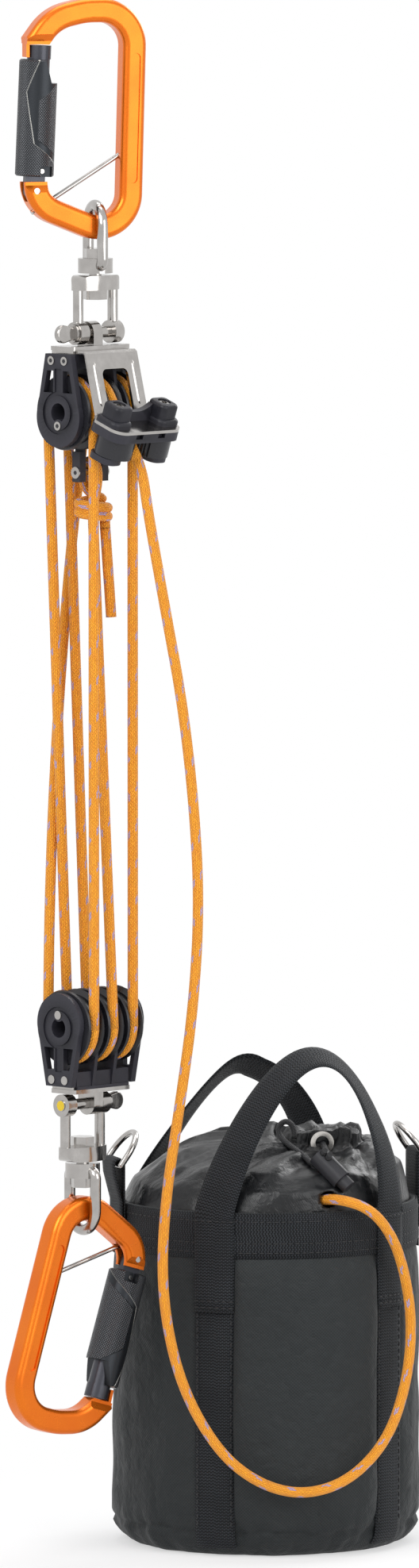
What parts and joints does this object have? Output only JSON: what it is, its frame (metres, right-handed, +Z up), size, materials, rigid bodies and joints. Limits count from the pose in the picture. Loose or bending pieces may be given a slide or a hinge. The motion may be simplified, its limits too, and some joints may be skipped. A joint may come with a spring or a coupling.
{
  "type": "rescue pulley system",
  "caption": "Hauling tackle of swivelling multi-sheave blocks with locking carabiners, a cam cleat on the upper block, and a webbing-strapped bag that stores the spare rope.",
  "frame": {"origin": "inside top of the anchor carabiner's bow, where the anchor bears", "axes": "+Z up along the hanging tackle, +X to the bag's side as seen from the front, +Y away from the front"},
  "size_m": [0.2036, 0.1921, 0.7465],
  "materials": {
    "orange_anodised": "satin anodised",
    "dark_anodised": "satin anodised, knurled",
    "gate_alloy": "satin anodised",
    "stainless": "polished",
    "dark_nylon": "fine moulded grain",
    "black_acetal": "smooth",
    "orange_rope": "braided, flecked",
    "bag_cloth": "coated weave",
    "collar_cloth": "crinkled, slightly shiny",
    "webbing": "ribbed weave",
    "black_cord": "braided",
    "lock_plastic": "moulded",
    "nickel": "plated"
  },
  "bodies": {
    "anchor_carabiner": {"anchor_frame": "orange_anodised", "anchor_pins": "stainless"},
    "anchor_gate_arm": {"anchor_gate": "gate_alloy"},
    "anchor_lock": {"anchor_sleeve": "dark_anodised"},
    "upper_swivel_eye": {"upper_eye": "stainless"},
    "upper_swivel_jaw": {"upper_jaw": "stainless", "upper_swivel_bolt": "stainless", "upper_shackle_pin": "stainless"},
    "upper_block": {"upper_left_cheek": "dark_nylon", "upper_right_cheek": "dark_nylon", "upper_divider_frame": "dark_nylon", "upper_axle": "dark_nylon", "upper_fasteners": "stainless", "upper_head_strap": "stainless", "upper_bearing_balls": "stainless", "cam_bracket": "stainless", "cam_base": "dark_nylon", "cam_keepers": "dark_nylon", "fairlead_cover": "dark_nylon", "becket": "dark_nylon", "rope_upper_turns": "orange_rope", "becket_knot": "orange_rope"},
    "upper_wheel_1": {"upper_sheave_1": "black_acetal"},
    "upper_wheel_2": {"upper_sheave_2": "black_acetal"},
    "upper_wheel_3": {"upper_sheave_3": "black_acetal"},
    "left_cam_body": {"cam_left": "black_acetal"},
    "right_cam_body": {"cam_right": "black_acetal"},
    "lower_block": {"lower_left_cheek": "dark_nylon", "lower_right_cheek": "dark_nylon", "lower_divider_frame": "dark_nylon", "lower_axle": "dark_nylon", "lower_rivets": "stainless", "lower_head_strap": "stainless", "lower_head_pad": "dark_nylon", "lower_bearing_balls": "stainless", "rope_lower_turns": "orange_rope", "rope_falls": "orange_rope"},
    "lower_wheel_1": {"lower_sheave_1": "black_acetal"},
    "lower_wheel_2": {"lower_sheave_2": "black_acetal"},
    "lower_wheel_3": {"lower_sheave_3": "black_acetal"},
    "lower_swivel_jaw": {"lower_jaw": "stainless", "lower_swivel_bolt": "stainless", "lower_shackle_pin": "stainless"},
    "lower_swivel_eye": {"lower_eye": "stainless"},
    "load_carabiner": {"load_frame": "orange_anodised", "load_pins": "stainless"},
    "load_gate_arm": {"load_gate": "gate_alloy"},
    "load_lock": {"load_sleeve": "dark_anodised"},
    "bag": {"bag_shell": "bag_cloth", "bag_collar": "collar_cloth", "bag_webbing": "webbing", "bag_handles": "webbing", "drawcord": "black_cord", "cord_lock": "lock_plastic", "bag_eyelet": "nickel", "stored_rope": "orange_rope", "rope_tail": "orange_rope"},
    "left_ring": {"left_d_ring": "stainless"},
    "right_ring": {"right_d_ring": "stainless"},
    "lock_button": {"cord_lock_button": "lock_plastic"}
  },
  "joints": [
    {"name": "anchor_gate_hinge", "type": "hinge", "parent": "anchor_carabiner", "child": "anchor_gate_arm", "pos_m": [-0.02725, -0.00992, -0.0795], "axis": [-0.342, 0.9397, 0], "range_deg": [0, 25], "stiffness_Nm_per_rad": 0.05},
    {"name": "anchor_sleeve_twist", "type": "hinge", "parent": "anchor_gate_arm", "child": "anchor_lock", "pos_m": [-0.02603, -0.00948, -0.04953], "axis": [0.0405, 0.0147, 0.9991], "range_deg": [0, 90], "stiffness_Nm_per_rad": 0.02},
    {"name": "upper_eye_swing", "type": "hinge", "parent": "anchor_carabiner", "child": "upper_swivel_eye", "pos_m": [0.00197, 0.00072, -0.097], "axis": [0.9397, 0.342, 0], "range_deg": [-40, 40]},
    {"name": "upper_swivel_spin", "type": "hinge", "parent": "upper_swivel_eye", "child": "upper_swivel_jaw", "pos_m": [0.00197, 0.00072, -0.12], "axis": [0, 0, 1], "continuous": true},
    {"name": "upper_shackle_pivot", "type": "hinge", "parent": "upper_swivel_jaw", "child": "upper_block", "pos_m": [0.00197, 0.00072, -0.1474], "axis": [0.7071, 0.7071, 0], "range_deg": [-50, 50]},
    {"name": "upper_sheave_spin_1", "type": "hinge", "parent": "upper_block", "child": "upper_wheel_1", "pos_m": [-0.00969, -0.01095, -0.1847], "axis": [-0.7071, -0.7071, 0], "continuous": true},
    {"name": "upper_sheave_spin_2", "type": "hinge", "parent": "upper_block", "child": "upper_wheel_2", "pos_m": [-0.0005, -0.00176, -0.1847], "axis": [-0.7071, -0.7071, 0], "continuous": true},
    {"name": "upper_sheave_spin_3", "type": "hinge", "parent": "upper_block", "child": "upper_wheel_3", "pos_m": [0.00869, 0.00744, -0.1847], "axis": [-0.7071, -0.7071, 0], "continuous": true},
    {"name": "left_cam_hinge", "type": "hinge", "parent": "upper_block", "child": "left_cam_body", "pos_m": [0.00863, -0.03211, -0.19856], "axis": [-0.2418, 0.2418, -0.9397], "range_deg": [0, 25], "stiffness_Nm_per_rad": 0.01},
    {"name": "right_cam_hinge", "type": "hinge", "parent": "upper_block", "child": "right_cam_body", "pos_m": [0.02985, -0.01089, -0.19856], "axis": [0.2418, -0.2418, 0.9397], "range_deg": [0, 25], "stiffness_Nm_per_rad": 0.01},
    {"name": "lower_block_hoist", "type": "slide", "parent": "upper_block", "child": "lower_block", "axis": [0, 0, 1], "range_m": [0, 0.15], "deforming": ["rope_falls"]},
    {"name": "lower_sheave_spin_1", "type": "hinge", "parent": "lower_block", "child": "lower_wheel_1", "pos_m": [0.00869, 0.00744, -0.4781], "axis": [-0.7071, -0.7071, 0], "continuous": true},
    {"name": "lower_sheave_spin_2", "type": "hinge", "parent": "lower_block", "child": "lower_wheel_2", "pos_m": [-0.0005, -0.00176, -0.4781], "axis": [-0.7071, -0.7071, 0], "continuous": true},
    {"name": "lower_sheave_spin_3", "type": "hinge", "parent": "lower_block", "child": "lower_wheel_3", "pos_m": [-0.00969, -0.01095, -0.4781], "axis": [-0.7071, -0.7071, 0], "continuous": true},
    {"name": "lower_shackle_pivot", "type": "hinge", "parent": "lower_block", "child": "lower_swivel_jaw", "pos_m": [-0.00432, -0.00558, -0.5154], "axis": [0.7071, 0.7071, 0], "range_deg": [-2, 50]},
    {"name": "lower_swivel_spin", "type": "hinge", "parent": "lower_swivel_jaw", "child": "lower_swivel_eye", "pos_m": [-0.00432, -0.00558, -0.5398], "axis": [0, 0, 1], "continuous": true},
    {"name": "load_eye_swing", "type": "hinge", "parent": "lower_swivel_eye", "child": "load_carabiner", "pos_m": [-0.00432, -0.00558, -0.5658], "axis": [0.788, 0.6157, 0], "range_deg": [-15, 40]},
    {"name": "load_gate_hinge", "type": "hinge", "parent": "load_carabiner", "child": "load_gate_arm", "pos_m": [0.01891, 0.01258, -0.59181], "axis": [-0.6157, 0.788, 0], "range_deg": [0, 25], "stiffness_Nm_per_rad": 0.05},
    {"name": "load_sleeve_twist", "type": "hinge", "parent": "load_gate_arm", "child": "load_lock", "pos_m": [0.01142, 0.00672, -0.62027], "axis": [-0.2497, -0.1951, -0.9485], "range_deg": [0, 90], "stiffness_Nm_per_rad": 0.02},
    {"name": "bag_lift", "type": "slide", "parent": "upper_block", "child": "bag", "axis": [0, 0, 1], "range_m": [0, 0.05], "deforming": ["rope_tail"]},
    {"name": "left_ring_hinge", "type": "hinge", "parent": "bag", "child": "left_ring", "pos_m": [0.01019, 0.05062, -0.55], "axis": [0.2924, -0.9563, 0], "range_deg": [0, 80]},
    {"name": "right_ring_hinge", "type": "hinge", "parent": "bag", "child": "right_ring", "pos_m": [0.1566, 0.09538, -0.55], "axis": [-0.2924, 0.9563, 0], "range_deg": [0, 80]},
    {"name": "lock_button_press", "type": "slide", "parent": "bag", "child": "lock_button", "axis": [-0.6792, 0.2795, 0.6787], "range_m": [0, 0.003], "stiffness_N_per_m": 300}
  ],
  "couplings": [
    {"joint": "lower_sheave_spin_2", "follows": "lower_block_hoist", "rad_per_m": -64.516},
    {"joint": "upper_sheave_spin_1", "follows": "lower_block_hoist", "rad_per_m": -129.03},
    {"joint": "lower_sheave_spin_1", "follows": "lower_block_hoist", "rad_per_m": -193.55},
    {"joint": "upper_sheave_spin_3", "follows": "lower_block_hoist", "rad_per_m": -258.06},
    {"joint": "lower_sheave_spin_3", "follows": "lower_block_hoist", "rad_per_m": -322.58},
    {"joint": "upper_sheave_spin_2", "follows": "lower_block_hoist", "rad_per_m": -387.1}
  ]
}
